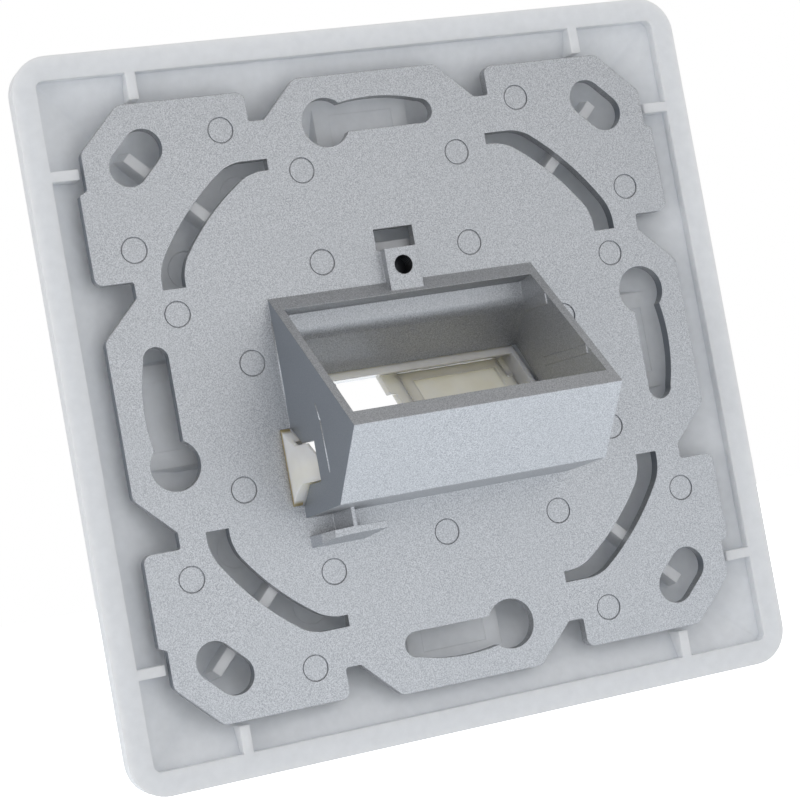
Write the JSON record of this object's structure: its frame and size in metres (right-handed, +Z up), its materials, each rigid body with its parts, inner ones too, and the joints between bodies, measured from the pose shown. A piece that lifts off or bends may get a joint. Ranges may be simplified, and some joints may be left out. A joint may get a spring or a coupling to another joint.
{
  "type": "keystone faceplate",
  "caption": "Flush-mounted square keystone faceplate with a die-cast carrier, a slanted chute and a downward-facing outlet with one port open and one blanked.",
  "frame": {"origin": "middle of the carrier's back face, which lies on the wall", "axes": "+Y into the wall, +Z up, +X to the right seen from the room"},
  "size_m": [0.0816, 0.0314, 0.0816],
  "materials": {
    "zinc_casting": "fine-grained as-cast zinc alloy",
    "white_abs": "satin moulded white",
    "ivory_plastic": "glossy, slightly translucent ivory",
    "zinc_plated_steel": "bright zinc plating"
  },
  "bodies": {
    "root": {"carrier": "zinc_casting", "cover": "white_abs", "port_insert": "ivory_plastic", "port_blank": "ivory_plastic", "centre_screw": "zinc_plated_steel"}
  },
  "joints": []
}
